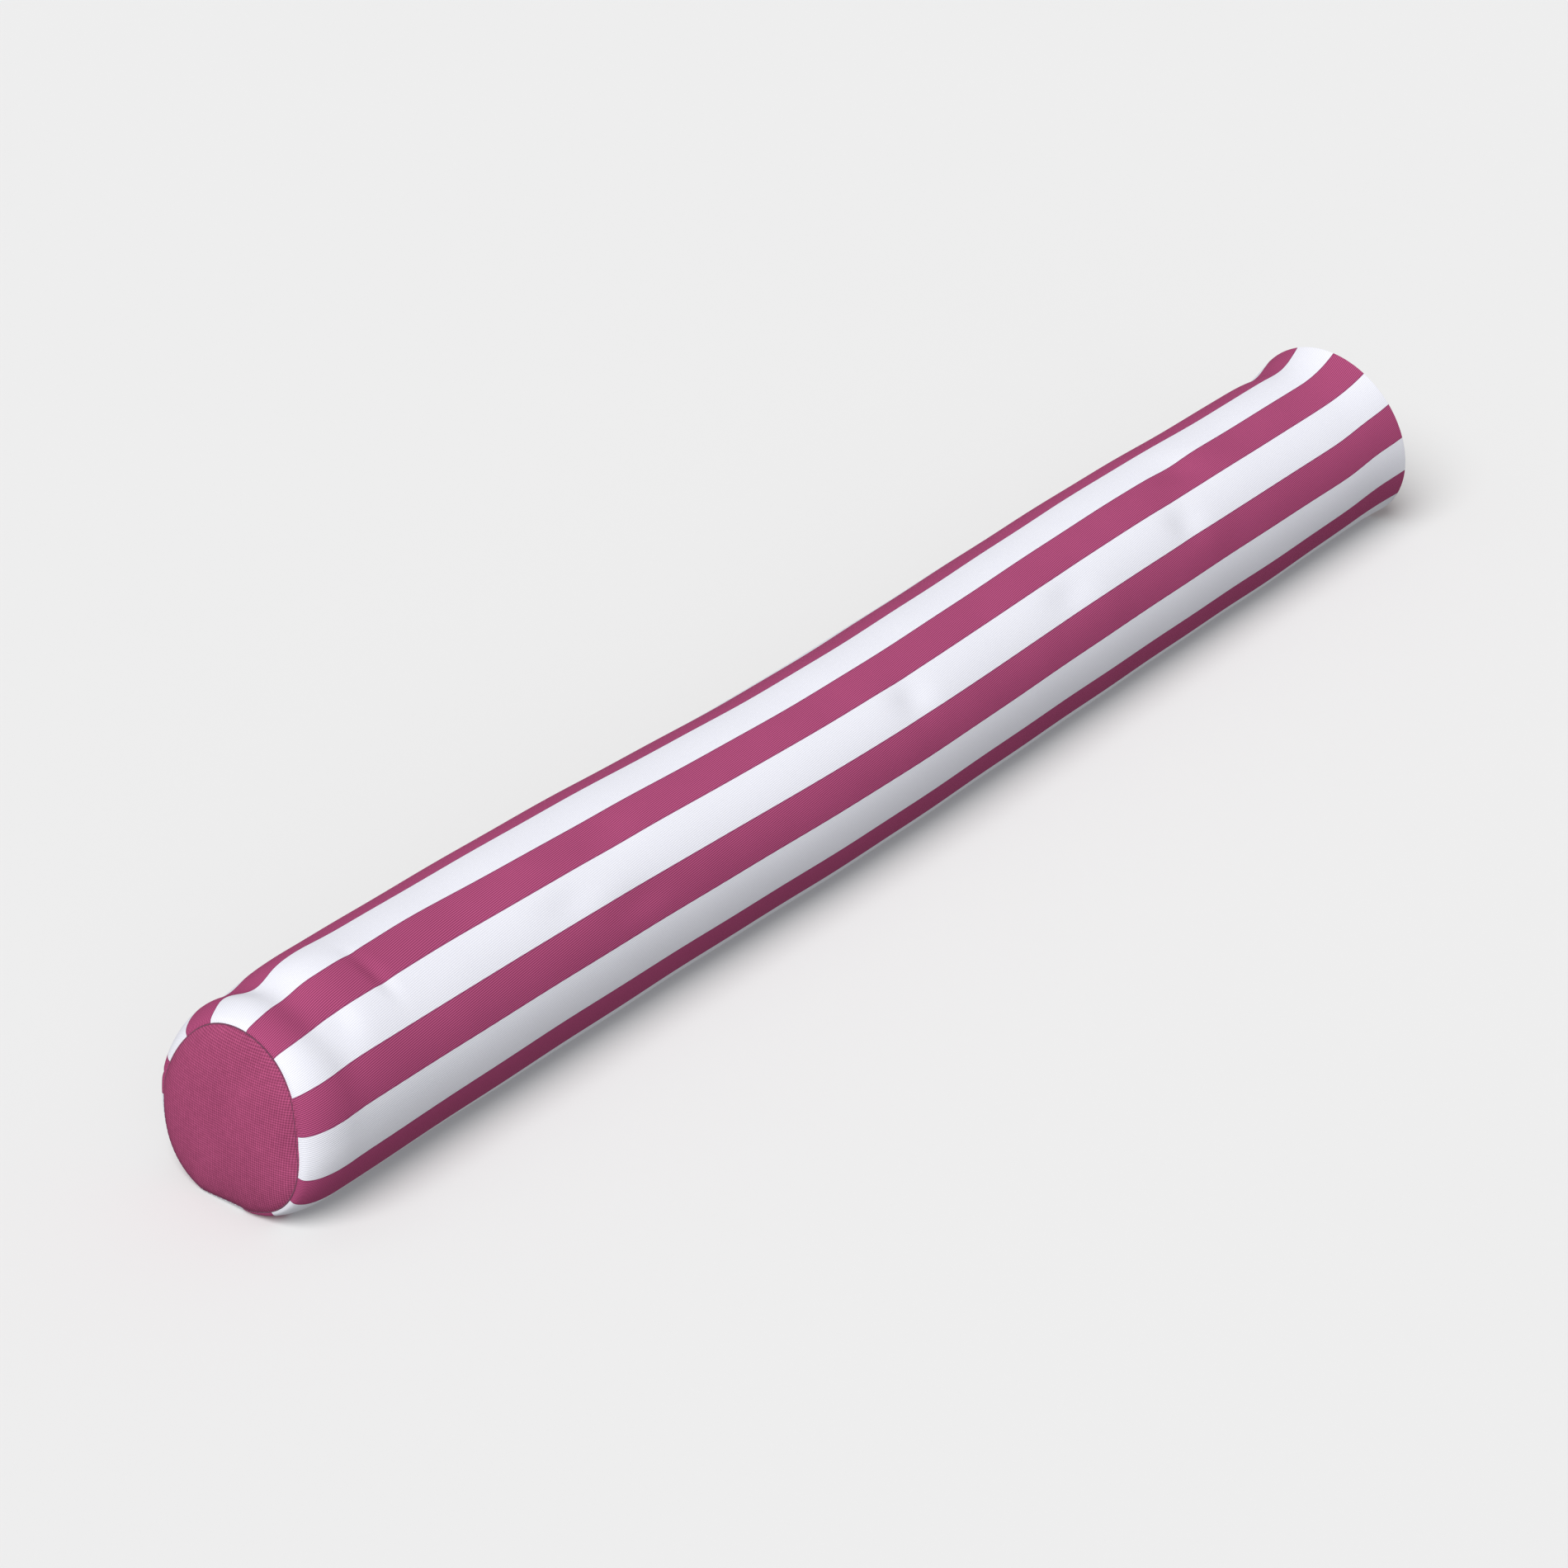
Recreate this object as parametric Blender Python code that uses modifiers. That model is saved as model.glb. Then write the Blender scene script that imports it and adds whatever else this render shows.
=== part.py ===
"""A long slim foam roller in a removable striped cloth cover, lying on its side.

X runs along the roller, from its left end to its right end, Y points to its back and Z up.
The origin is in the middle of the flat on the underside, on the floor. The filling is a foam
bar in wadding and an inner case. The cover is a cloth tube with a round panel at each end and
a zip along the back, whose slider and pull are the pieces that move.
"""

import math

import bmesh
import bpy
from mathutils import Matrix

# The roller as a whole
SEAM_LENGTH = 0.914       # between the seams at the two ends
END_CROWN = 0.0035        # how far each end panel bulges past its seam
LENGTH = SEAM_LENGTH + 2 * END_CROWN
RADIUS = 0.0508           # of the roller before it settles
SPREAD = 0.0027           # how much its own weight widens and lowers the section, each side
AXIS_HEIGHT = 0.0461      # centre line above the floor
GAP = 0.0003              # clearance between pieces that touch
SEGMENTS = 48             # faces round a turned piece

# Layers, from the outside in
CLOTH = 0.0008
ZIP_TAPE = 0.0005
CASE_CLOTH = 0.0005
WADDING = 0.0035

# Ends: the cover's edge draws in over a rounded shoulder, and the panel crowns outwards
SHOULDER_LENGTH = 0.024
SHOULDER_STEPS = 4
LEFT_DRAW_IN = 0.0055
RIGHT_DRAW_IN = 0.0005
CROWN_POWER = 2.5
CROWN_STEPS = 4
CASE_END_DEPTH = 0.014    # from the crown of the panel to the inner case's end disc
PAD_REACH = 0.9           # of the panel's radius
SEAM_THREAD = 0.0006
SEAM_THREAD_WIDTH = 0.0010

# Zip, along the middle of the magenta stripe at the back
ZIP_ANGLE = math.radians(3.5)     # above the level of the centre line
ZIP_HALF_LENGTH = 0.295           # of the rows of teeth
SLOT_HALF_WIDTH = 0.0040
SLOT_OVERRUN = 0.007              # slot past the teeth, at each end
TAPE_OVERRUN = 0.011
TAPE_WIDTH = 0.013
TAPE_EDGE = 0.0004                # from the zip's middle to the tape's inner edge
TAPE_FACETS = 5
TOOTH_INNER = 0.0002
TOOTH_OUTER = 0.0026
TOOTH_TOP = 0.0009                # above the cover's outer face
STOP_OUTER = 0.0034
STOP_TOP = 0.0016
STOP_LENGTH = 0.0030
STOP_GAP = 0.0005
STITCH_OFFSET = 0.0063
STITCH_WIDTH = 0.0005
STITCH_HEIGHT = 0.0003

# Zip slider: a channel over the rows of teeth, with a bridge that holds the pull
SLIDER_LENGTH = 0.011
SLIDER_HALF_WIDTH = 0.0035
SLIDER_WALL = 0.0006
SLIDER_UNDERSIDE = 0.0012
SLIDER_TOP = 0.0020
FLANGE_BOTTOM = -0.00045
BRIDGE_HALF_LENGTH = 0.0026
BRIDGE_POST = 0.0010
BRIDGE_WIDTH = 0.0016
BRIDGE_TOP = 0.0050
BRIDGE_OPENING_TOP = 0.0042

# Zip pull: a flat tab whose end bar turns in the bridge
HINGE_HEIGHT = 0.0031
PULL_BAR = 0.0006         # half the bar's width
PULL_REACH = 0.024
PULL_HALF_WIDTH = 0.0024
PULL_TIP_RADIUS = 0.0022
PULL_THICKNESS = 0.0010
PULL_WINDOW_END = 0.0037
PULL_WINDOW_HALF_WIDTH = 0.00125
PULL_TILT = math.radians(3.1)     # the tab's tip rests lower than its bar
CORNER_STEPS = 4

MAGENTA = (0.40, 0.045, 0.155)
DARK_MAGENTA = (0.24, 0.025, 0.09)
NATURAL = (0.80, 0.78, 0.72)
WADDING_WHITE = (0.85, 0.85, 0.84)
FOAM_GREY = (0.55, 0.60, 0.68)
NICKEL = (0.62, 0.60, 0.58)


def clear_scene():
    """Remove the objects that the file starts with."""
    for old in list(bpy.data.objects):
        bpy.data.objects.remove(old, do_unlink=True)


def new_collection(name):
    collection = bpy.data.collections.new(name)
    bpy.context.scene.collection.children.link(collection)
    return collection


def finish_of(name, colour, roughness, metallic=0.0):
    """A Principled material of one piece."""
    material = bpy.data.materials.new(name)
    material.use_nodes = True
    shader = material.node_tree.nodes["Principled BSDF"]
    shader.inputs["Base Color"].default_value = (*colour, 1.0)
    shader.inputs["Roughness"].default_value = roughness
    shader.inputs["Metallic"].default_value = metallic
    material.diffuse_color = (*colour, 1.0)
    return material


def add_object(name, mesh, collection):
    piece = bpy.data.objects.new(name, mesh)
    collection.objects.link(piece)
    return piece


def settled_point(x, radius, angle):
    """A point of the round roller after it settles: wider, lower and flat underneath."""
    share = min(1.0, radius / RADIUS)
    y = (radius + SPREAD * share) * math.cos(angle)
    z = AXIS_HEIGHT + (radius - SPREAD * share) * math.sin(angle)
    return x, y, max(z, RADIUS - radius)


def settle(mesh):
    """Move a mesh that is round about the X axis to where it lies when the roller settles."""
    for vertex in mesh.vertices:
        x, y, z = vertex.co
        vertex.co = settled_point(x, math.hypot(y, z), math.atan2(z, y))


def face_outwards(mesh):
    work = bmesh.new()
    work.from_mesh(mesh)
    bmesh.ops.recalc_face_normals(work, faces=work.faces)
    work.to_mesh(mesh)
    work.free()


def turned(name, profile, closed, material):
    """A piece turned about X from (x, radius) points, then settled on the floor."""
    points = [(x, 0.0, radius) for x, radius in profile]
    edges = [(i, i + 1) for i in range(len(points) - 1)]
    if closed:
        edges.append((len(points) - 1, 0))
    outline = bpy.data.meshes.new(name + "_outline")
    outline.from_pydata(points, edges, [])
    piece = add_object(name, outline, PARTS)
    screw = piece.modifiers.new("turn", "SCREW")
    screw.axis = "X"
    screw.steps = SEGMENTS
    screw.render_steps = SEGMENTS
    screw.use_merge_vertices = True
    screw.merge_threshold = 0.00001
    bpy.context.view_layer.update()
    evaluated = piece.evaluated_get(bpy.context.evaluated_depsgraph_get())
    solid = bpy.data.meshes.new_from_object(evaluated)
    piece.modifiers.clear()
    piece.data = solid
    solid.name = name
    settle(solid)
    face_outwards(solid)
    solid.shade_smooth()
    solid.set_sharp_from_angle(angle=math.radians(40))
    solid.materials.append(material)
    return piece


def skin_radius(x):
    """Outer radius of the cover at x, with the shoulders at its two ends."""
    from_left = (x + LENGTH / 2 - END_CROWN) / SHOULDER_LENGTH
    from_right = (LENGTH / 2 - END_CROWN - x) / SHOULDER_LENGTH
    if from_left < from_right:
        share, draw_in = from_left, LEFT_DRAW_IN
    else:
        share, draw_in = from_right, RIGHT_DRAW_IN
    share = min(1.0, max(0.0, share))
    return RADIUS - draw_in * (1.0 - math.sqrt(1.0 - (1.0 - share) ** 2))


def stations(depth):
    """Places along X that follow both shoulders, starting depth from each end."""
    start = LENGTH / 2 - depth
    stop = LENGTH / 2 - END_CROWN - SHOULDER_LENGTH
    half = []
    for i in range(SHOULDER_STEPS + 1):
        share = 1.0 - math.cos(math.pi / 2 * i / SHOULDER_STEPS)
        half.append(start + (stop - start) * share)
    return [-x for x in half] + half[::-1]


def layer(name, depth, outside, thickness, material):
    """A tube that follows the cover's shape, its outer face the given depth under the skin."""
    places = stations(depth)
    outer = [(x, skin_radius(x) - outside) for x in places]
    inner = [(x, skin_radius(x) - outside - thickness) for x in reversed(places)]
    return turned(name, outer + inner, True, material)


def crown(share, side_radius, side):
    """Point of the end panel's outer face, at a share of the panel's radius."""
    x = LENGTH / 2 - END_CROWN * share ** CROWN_POWER
    return side * x, side_radius * share


def add_end(word, side, cover_material, thread_material, pad_material, case_material):
    """The panel, its seam, the pad behind it and the inner case's end disc, at one end."""
    edge = side * (LENGTH / 2 - END_CROWN)
    panel_radius = skin_radius(edge) - CLOTH - GAP
    shares = [i / CROWN_STEPS for i in range(CROWN_STEPS + 1)]
    outer = [crown(share, panel_radius, side) for share in shares]
    inner = [(x - side * CLOTH, radius) for x, radius in reversed(outer)]
    turned("end_panel_" + word, outer + inner, False, cover_material)

    thread_low = panel_radius - SEAM_THREAD_WIDTH / 2
    thread_high = panel_radius + SEAM_THREAD_WIDTH / 2 + GAP
    thread_in = edge + side * 2 * GAP
    thread_out = thread_in + side * SEAM_THREAD
    ring = [(thread_in, thread_low), (thread_in, thread_high), (thread_out, thread_high), (thread_out, thread_low)]
    turned("end_seam_thread_" + word, ring, True, thread_material)

    pad_back = side * (LENGTH / 2 - CASE_END_DEPTH + GAP)
    pad_front = []
    for share in shares:
        x, radius = crown(share * PAD_REACH, panel_radius, side)
        pad_front.append((x - side * (CLOTH + GAP), radius))
    pad_edge = (pad_back, panel_radius * PAD_REACH)
    turned("end_pad_" + word, pad_front + [pad_edge, (pad_back, 0.0)], False, pad_material)

    case_front = side * (LENGTH / 2 - CASE_END_DEPTH)
    case_back = case_front - side * CASE_CLOTH
    case_radius = skin_radius(case_front) - case_depth()
    disc = [(case_front, 0.0), (case_front, case_radius), (case_back, case_radius), (case_back, 0.0)]
    turned("inner_case_end_" + word, disc, False, case_material)


def case_depth():
    """Depth of the inner case's outer face under the skin, below the cover and the zip's tapes."""
    return CLOTH + GAP + ZIP_TAPE + GAP


def add_filling(foam_material, pad_material, case_material):
    """The inner case, the wadding wrap and the foam bar."""
    case_start = CASE_END_DEPTH + CASE_CLOTH + GAP
    layer("inner_case_tube", case_start, case_depth(), CASE_CLOTH, case_material)
    wrap_depth = case_depth() + CASE_CLOTH + GAP
    layer("wadding_wrap", case_start, wrap_depth, WADDING, pad_material)
    foam_depth = wrap_depth + WADDING + GAP
    places = stations(case_start)
    bar = [(x, skin_radius(x) - foam_depth) for x in places]
    turned("foam_core", [(places[0], 0.0)] + bar + [(places[-1], 0.0)], False, foam_material)


def box_mesh(name, low, high):
    """A box between two corners."""
    work = bmesh.new()
    size = [b - a for a, b in zip(low, high)]
    middle = [(a + b) / 2 for a, b in zip(low, high)]
    place = Matrix.Translation(middle) @ Matrix.Diagonal((*size, 1.0))
    bmesh.ops.create_cube(work, size=1.0, matrix=place)
    mesh = bpy.data.meshes.new(name)
    work.to_mesh(mesh)
    work.free()
    return mesh


def bent_bar(name, half_length, across, above, facets, material):
    """A flat bar along X that follows the roller's curve at the zip.

    across is measured round the section from the zip's middle, above from the skin outwards.
    """
    work = bmesh.new()
    size = (2 * half_length, across[1] - across[0], above[1] - above[0])
    middle = (0.0, sum(across) / 2, sum(above) / 2)
    place = Matrix.Translation(middle) @ Matrix.Diagonal((*size, 1.0))
    bmesh.ops.create_cube(work, size=1.0, matrix=place)
    if facets > 1:
        spanning = [e for e in work.edges if abs(e.verts[0].co.y - e.verts[1].co.y) > size[1] / 2]
        bmesh.ops.subdivide_edges(work, edges=spanning, cuts=facets - 1, use_grid_fill=True)
    for vertex in work.verts:
        x, arc, height = vertex.co
        vertex.co = settled_point(x, RADIUS + height, ZIP_ANGLE + arc / RADIUS)
    mesh = bpy.data.meshes.new(name)
    work.to_mesh(mesh)
    work.free()
    face_outwards(mesh)
    mesh.materials.append(material)
    return add_object(name, mesh, PARTS)


def add_zip_frame():
    """An empty at the middle of the zip: X along it, Z out of the cover, Y down the back."""
    frame = bpy.data.objects.new("zip_frame", None)
    HELPERS.objects.link(frame)
    frame.location = settled_point(0.0, RADIUS, ZIP_ANGLE)
    rise = math.sin(ZIP_ANGLE) / (RADIUS - SPREAD)
    reach = math.cos(ZIP_ANGLE) / (RADIUS + SPREAD)
    frame.rotation_euler = (math.atan2(rise, reach) - math.pi / 2, 0.0, 0.0)
    return frame


def zip_box(name, zip_frame, low, high, material):
    """A box in the zip's own axes."""
    piece = add_object(name, box_mesh(name, low, high), PARTS)
    piece.parent = zip_frame
    piece.data.materials.append(material)
    return piece


def extruded(name, loops, thickness, rotation):
    """A flat outline, with holes for further loops, given a thickness along its own normal."""
    curve = bpy.data.curves.new(name, "CURVE")
    curve.dimensions = "2D"
    curve.fill_mode = "BOTH"
    curve.extrude = thickness / 2
    for loop in loops:
        spline = curve.splines.new("POLY")
        spline.points.add(len(loop) - 1)
        for point, (u, v) in zip(spline.points, loop):
            point.co = (u, v, 0.0, 1.0)
        spline.use_cyclic_u = True
    shape = bpy.data.objects.new(name + "_curve", curve)
    HELPERS.objects.link(shape)
    bpy.context.view_layer.update()
    evaluated = shape.evaluated_get(bpy.context.evaluated_depsgraph_get())
    mesh = bpy.data.meshes.new_from_object(evaluated)
    bpy.data.objects.remove(shape, do_unlink=True)
    work = bmesh.new()
    work.from_mesh(mesh)
    bmesh.ops.remove_doubles(work, verts=work.verts, dist=0.00001)
    bmesh.ops.recalc_face_normals(work, faces=work.faces)
    bmesh.ops.rotate(work, matrix=rotation, verts=work.verts)
    work.to_mesh(mesh)
    work.free()
    mesh.name = name
    return mesh


def turn_about(axis, degrees):
    return Matrix.Rotation(math.radians(degrees), 3, axis)


def channel_outline():
    """End view of the slider's channel: a plate over the teeth and a flange down each side."""
    outer = SLIDER_HALF_WIDTH
    inner = SLIDER_HALF_WIDTH - SLIDER_WALL
    right = [(outer, SLIDER_TOP), (outer, FLANGE_BOTTOM), (inner, FLANGE_BOTTOM), (inner, SLIDER_UNDERSIDE)]
    left = [(-u, v) for u, v in reversed(right)]
    return right + left


def bridge_outline():
    """Side view of the bridge: two posts and the bar between them, rooted in the plate."""
    root = (SLIDER_UNDERSIDE + SLIDER_TOP) / 2
    outer = BRIDGE_HALF_LENGTH
    inner = BRIDGE_HALF_LENGTH - BRIDGE_POST
    right = [(outer, BRIDGE_TOP), (outer, root), (inner, root), (inner, BRIDGE_OPENING_TOP)]
    left = [(-u, v) for u, v in reversed(right)]
    return right + left


def rounded_loop(low, high, radius):
    """A rectangle with round corners, anticlockwise."""
    corners = [
        (high[0] - radius, high[1] - radius, 0.0),
        (low[0] + radius, high[1] - radius, 0.5),
        (low[0] + radius, low[1] + radius, 1.0),
        (high[0] - radius, low[1] + radius, 1.5),
    ]
    loop = []
    for u, v, start in corners:
        for i in range(CORNER_STEPS + 1):
            angle = math.pi * (start + 0.5 * i / CORNER_STEPS)
            loop.append((u + radius * math.cos(angle), v + radius * math.sin(angle)))
    return loop


def pull_outline():
    """Plan of the pull: its bar at the origin, its tip at -X, tapering to a round end."""
    loop = []
    for i in range(2 * CORNER_STEPS + 1):
        angle = math.pi * (0.5 + i / (2 * CORNER_STEPS))
        u = -PULL_REACH + PULL_TIP_RADIUS + PULL_TIP_RADIUS * math.cos(angle)
        loop.append((u, PULL_TIP_RADIUS * math.sin(angle)))
    loop.append((PULL_BAR, -PULL_HALF_WIDTH))
    loop.append((PULL_BAR, PULL_HALF_WIDTH))
    return loop


def add_zip_rows(tape_material, teeth_material, metal_material, thread_material):
    """The tapes, teeth, stops and stitches, which stay with the cover."""
    zip_frame = add_zip_frame()
    tape_top = -CLOTH - GAP
    tooth_bottom = tape_top + GAP
    stop_start = ZIP_HALF_LENGTH + STOP_GAP
    for word, side in (("upper", 1), ("lower", -1)):
        across = sorted((side * TAPE_EDGE, side * TAPE_WIDTH))
        above = (tape_top - ZIP_TAPE, tape_top)
        tape_half = ZIP_HALF_LENGTH + TAPE_OVERRUN
        bent_bar("zip_tape_" + word, tape_half, across, above, TAPE_FACETS, tape_material)
        middle = side * STITCH_OFFSET
        across = (middle - STITCH_WIDTH / 2, middle + STITCH_WIDTH / 2)
        above = (GAP, GAP + STITCH_HEIGHT)
        bent_bar("zip_stitching_" + word, tape_half, across, above, 1, thread_material)
        low_y, high_y = sorted((-side * TOOTH_INNER, -side * TOOTH_OUTER))
        low = (-ZIP_HALF_LENGTH, low_y, tooth_bottom)
        high = (ZIP_HALF_LENGTH, high_y, TOOTH_TOP)
        zip_box("zip_teeth_" + word, zip_frame, low, high, teeth_material)

        low_y, high_y = sorted((-side * TOOTH_INNER, -side * STOP_OUTER))
        low = (stop_start, low_y, tooth_bottom)
        high = (stop_start + STOP_LENGTH, high_y, STOP_TOP)
        zip_box("zip_top_stop_" + word, zip_frame, low, high, metal_material)

    low = (-stop_start - STOP_LENGTH, -STOP_OUTER, tooth_bottom)
    high = (-stop_start, STOP_OUTER, STOP_TOP)
    zip_box("zip_bottom_stop", zip_frame, low, high, metal_material)
    return zip_frame


def add_slider(zip_frame, metal_material):
    """The slider at the closed end of the zip, and its pull lying back along the teeth."""
    rest = ZIP_HALF_LENGTH - SLIDER_LENGTH / 2
    channel = extruded("zip_slider", [channel_outline()], SLIDER_LENGTH, turn_about("Z", 90) @ turn_about("X", 90))
    slider = add_object("zip_slider", channel, PARTS)
    slider.parent = zip_frame
    slider.location = (rest, 0.0, 0.0)
    channel.materials.append(metal_material)

    arch = extruded("bridge", [bridge_outline()], BRIDGE_WIDTH, turn_about("X", 90))
    bridge = add_object("bridge", arch, HELPERS)
    bridge.parent = slider
    bridge.display_type = "WIRE"
    bridge.hide_render = True
    union = slider.modifiers.new("bridge", "BOOLEAN")
    union.operation = "UNION"
    union.solver = "EXACT"
    union.object = bridge

    hole_low = (-PULL_WINDOW_END, -PULL_WINDOW_HALF_WIDTH)
    hole_high = (-PULL_BAR, PULL_WINDOW_HALF_WIDTH)
    window = rounded_loop(hole_low, hole_high, PULL_WINDOW_HALF_WIDTH / 2)
    tab = extruded("zip_pull", [pull_outline(), window], PULL_THICKNESS, turn_about("X", 0))
    tab.materials.append(metal_material)
    pull = add_object("zip_pull", tab, PARTS)
    pull.parent = zip_frame
    pull.location = (rest, 0.0, HINGE_HEIGHT)
    pull.rotation_euler = (0.0, -PULL_TILT, 0.0)


def add_cover(zip_frame, cover_material):
    """The cloth tube, with a slot for the zip's teeth."""
    cover = layer("cover_tube", END_CROWN, 0.0, CLOTH, cover_material)
    half = ZIP_HALF_LENGTH + SLOT_OVERRUN
    depth = 5 * CLOTH
    low = (-half, -SLOT_HALF_WIDTH, -depth)
    high = (half, SLOT_HALF_WIDTH, depth)
    slot = add_object("zip_slot", box_mesh("zip_slot", low, high), HELPERS)
    slot.parent = zip_frame
    slot.display_type = "WIRE"
    slot.hide_render = True
    cut = cover.modifiers.new("zip_slot", "BOOLEAN")
    cut.operation = "DIFFERENCE"
    cut.solver = "EXACT"
    cut.object = slot


def build():
    cloth = finish_of("cover_cloth", MAGENTA, 0.9)
    thread = finish_of("thread", DARK_MAGENTA, 0.8)
    calico = finish_of("inner_case_cloth", NATURAL, 0.95)
    wadding = finish_of("wadding", WADDING_WHITE, 1.0)
    foam = finish_of("foam", FOAM_GREY, 0.85)
    tape = finish_of("zip_tape", DARK_MAGENTA, 0.85)
    nylon = finish_of("zip_teeth", MAGENTA, 0.45)
    nickel = finish_of("zip_metal", NICKEL, 0.35, 1.0)

    add_filling(foam, wadding, calico)
    add_end("left", -1, cloth, thread, wadding, calico)
    add_end("right", 1, cloth, thread, wadding, calico)
    zip_frame = add_zip_rows(tape, nylon, nickel, thread)
    add_cover(zip_frame, cloth)
    add_slider(zip_frame, nickel)


clear_scene()
PARTS = new_collection("foam_roller")
HELPERS = new_collection("helpers")
build()
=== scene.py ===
"""Looks of a long, slim foam roller in a striped cloth cover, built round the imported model.

Every length is in metres. X runs along the roller, +Y is its back, where the zip is, and Z is up. A place
on the cover is given by x and by an angle round the section: 0 at the back, 90 on top, 180 at the front.
"""

import math

import bmesh
import bpy
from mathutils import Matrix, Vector


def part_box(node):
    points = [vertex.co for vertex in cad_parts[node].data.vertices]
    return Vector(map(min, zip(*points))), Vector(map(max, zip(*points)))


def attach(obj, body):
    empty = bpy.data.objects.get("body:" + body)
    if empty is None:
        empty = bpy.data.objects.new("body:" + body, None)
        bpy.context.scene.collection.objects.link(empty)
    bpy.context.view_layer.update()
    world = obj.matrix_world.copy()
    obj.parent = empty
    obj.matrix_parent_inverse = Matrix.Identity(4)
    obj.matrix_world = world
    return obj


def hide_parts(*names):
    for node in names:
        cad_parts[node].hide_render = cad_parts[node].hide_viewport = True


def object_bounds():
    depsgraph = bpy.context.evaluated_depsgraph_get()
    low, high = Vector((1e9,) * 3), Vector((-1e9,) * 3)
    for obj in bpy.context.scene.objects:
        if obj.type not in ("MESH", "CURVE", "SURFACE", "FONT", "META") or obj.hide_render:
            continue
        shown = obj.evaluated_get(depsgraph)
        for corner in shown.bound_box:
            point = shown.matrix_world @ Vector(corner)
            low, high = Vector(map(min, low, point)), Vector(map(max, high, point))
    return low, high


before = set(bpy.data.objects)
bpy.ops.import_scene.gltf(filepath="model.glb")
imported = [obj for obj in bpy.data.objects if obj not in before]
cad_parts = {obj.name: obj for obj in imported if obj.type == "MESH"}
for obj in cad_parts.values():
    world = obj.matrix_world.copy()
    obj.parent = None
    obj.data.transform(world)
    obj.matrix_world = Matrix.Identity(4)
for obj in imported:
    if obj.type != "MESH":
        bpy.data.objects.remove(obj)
CAD_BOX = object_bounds()

# The plain section that the CAD model gives the roller
SKIN_LOW, SKIN_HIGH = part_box("cover_tube")
AXIS_HEIGHT = 0.0461
HALF_WIDTH = -SKIN_LOW.y
RADIUS = (HALF_WIDTH + SKIN_HIGH.z - AXIS_HEIGHT) / 2
SPREAD = HALF_WIDTH - RADIUS
SEAM = SKIN_HIGH.x
SECTION_STEPS = 2880

# The end panels, which the stuffing pushes out: most in the middle, and steeply at the edge, where each
# ring is given by how far past the seam it lies and its share of the radius
BULGE = 0.0070
BULGE_SQUARENESS = 2.4
BULGE_STEEPNESS = 0.6
PANEL_SIDES = 96
PANEL_RINGS = 18
PANEL_FACE = 0.985
PANEL_LIP = 0.992
PANEL_EDGE = ((-0.0003, 0.998), (-0.0010, 1.0), (-0.0030, 1.0), (-0.0060, 1.0))
CREASE_SLOPE = 0.45
CREASE_PLACE = 0.002
CREASE_WIDTH = 0.0035
CREASE_HEIGHT = 0.0005

# Layers
CLOTH = 0.0008
GAP = 0.0003
ZIP_TAPE = 0.0005
CASE_CLOTH = 0.0005
WADDING = 0.0035
CASE_DEPTH = CLOTH + ZIP_TAPE + 2 * GAP
WADDING_DEPTH = CASE_DEPTH + CASE_CLOTH + GAP
FOAM_DEPTH = WADDING_DEPTH + WADDING + GAP
PANEL_INSET = CLOTH + GAP
END_DEPTH = 0.014
CASE_EDGE = 0.0006
BAR_EDGE = ((0.0, 0.9), (0.0008, 0.97))     # in from the end, share of the radius
BAR_EDGE_LENGTH = 0.002
INNER_SIDES = 64
INNER_STEPS = 120
INNER_CORNER = math.radians(50)
PAD_REACH = 0.9
PAD_RINGS = 10

# Zip
ZIP_ANGLE = 3.5
SLOT_HALF_WIDTH = 0.0040
SLOT_END = 0.302
SLOT_MARGIN = 0.001
SLOT_FOLD = ((-0.0001, 0.0004), (0.0004, 0.0004), (0.0020, 0.0001))     # sideways, inwards
PINCH_WIDTH = 0.0009      # the cloth is drawn together past each end of the slot
PINCH_DEPTH = 0.0010
PINCH_START = 0.002
HOLD_ANGLE = 12           # the zip holds the cloth straight this far round and along
HOLD_ANGLE_FADE = 18
HOLD_END = 0.312
HOLD_END_FADE = 0.05
TEETH_END = 0.295
TOOTH_PITCH = 0.0015
TOOTH_INNER = -0.0004
TOOTH_OUTER = 0.0026
TOOTH_RISE = 0.0001
TOOTH_WIDTH = 0.0007
TOOTH_HEIGHT = 0.0015
STITCH_OFFSET = 0.0063
STITCH_PITCH = 0.0032
STITCH_END = 0.306
STITCH_START = 0.1        # shares of the pitch
STITCH_SHARE = 0.8
STITCH_RISE = 0.0001
STITCH_SIZE = 0.0005
ROUNDING = 0.00015        # of the metal pieces
METAL_CORNER = math.radians(40)

# Stitches of the end seams
END_STITCHES = 104
END_STITCH_GAP = 0.02
END_STITCH_PAST = 0.0002
END_STITCH_DEPTH = 0.0008
END_STITCH_WIDTH = 0.0006
END_STITCH_HEIGHT = 0.0008

# Stripes: seven pairs round the cover, with the zip in the middle of a magenta one
PAIRS = 7
MAGENTA_SHARE = 0.483
WHITE_CELLS = 8
MAGENTA_CELLS = 7
ZIP_COLUMNS = (0.0082, 0.0063, 0.0051, 0.0040, 0.0020)
SLOT_STEPS = 60
FREE_START = 0.360
HOLD_STEPS = 12
FREE_STEPS = 40
RIM_STATIONS = (0.0015, 0.0008, 0.0003, 0.0)
SEAM_FOLD = (             # past the seam, depth
    (-0.0070, 0.0010),
    (-0.0030, 0.0009),
    (-0.0006, 0.0008),
    (0.0, 0.0005),
    (0.0001, 0.0002),
)

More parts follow.
